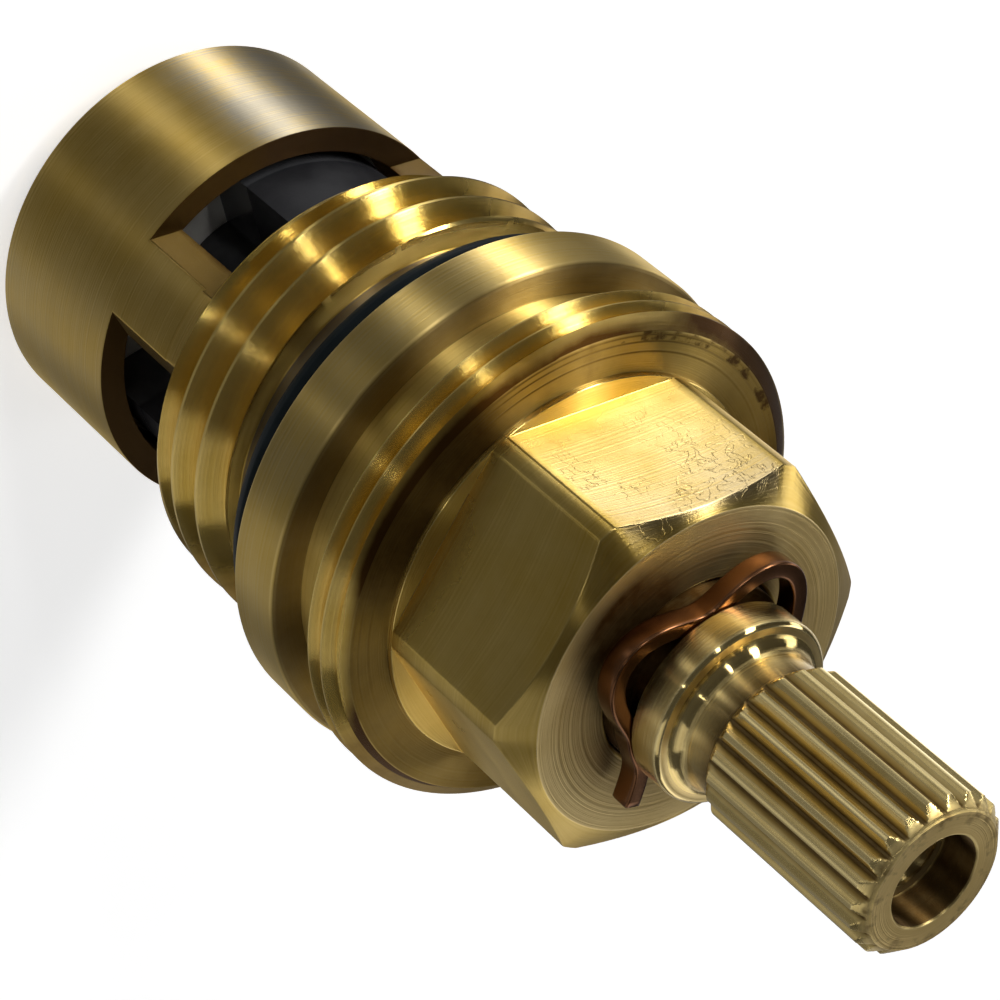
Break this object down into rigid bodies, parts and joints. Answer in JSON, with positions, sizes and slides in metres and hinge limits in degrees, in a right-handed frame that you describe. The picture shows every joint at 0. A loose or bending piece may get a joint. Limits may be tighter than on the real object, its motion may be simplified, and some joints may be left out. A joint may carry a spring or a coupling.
{
  "type": "ceramic disc tap cartridge",
  "caption": "Quarter-turn brass tap cartridge: windowed inlet cage, pipe thread, collar, spanner hexagon and splined spindle turning a ceramic disc valve.",
  "frame": {"origin": "on the axis, in the plane of the seat seal's inlet face", "axes": "+Z along the spindle from the inlet to the handle end, +Y through the middle of one water window"},
  "size_m": [0.0234, 0.0234, 0.0527],
  "materials": {
    "body_brass": "satin turned brass",
    "spindle_brass": "bright machined brass",
    "bronze": "drawn phosphor bronze wire",
    "acetal": "matt",
    "rubber": "matt",
    "driver": "satin moulded plastic",
    "dark_ceramic": "lapped",
    "pale_ceramic": "lapped"
  },
  "bodies": {
    "housing": {"headwork_body": "body_brass", "slip_washer": "acetal", "fixed_disc": "pale_ceramic", "seat_seal": "rubber", "seal_support_ring": "body_brass", "body_seal_ring": "rubber"},
    "spindle_set": {"spindle": "spindle_brass", "spindle_clip": "bronze", "lower_spindle_ring": "rubber", "upper_spindle_ring": "rubber", "disc_driver": "driver", "moving_disc": "dark_ceramic"}
  },
  "joints": [
    {"name": "quarter_turn", "type": "hinge", "parent": "housing", "child": "spindle_set", "pos_m": [0, 0, 0.03], "axis": [0, 0, 1], "range_deg": [0, 90]}
  ]
}
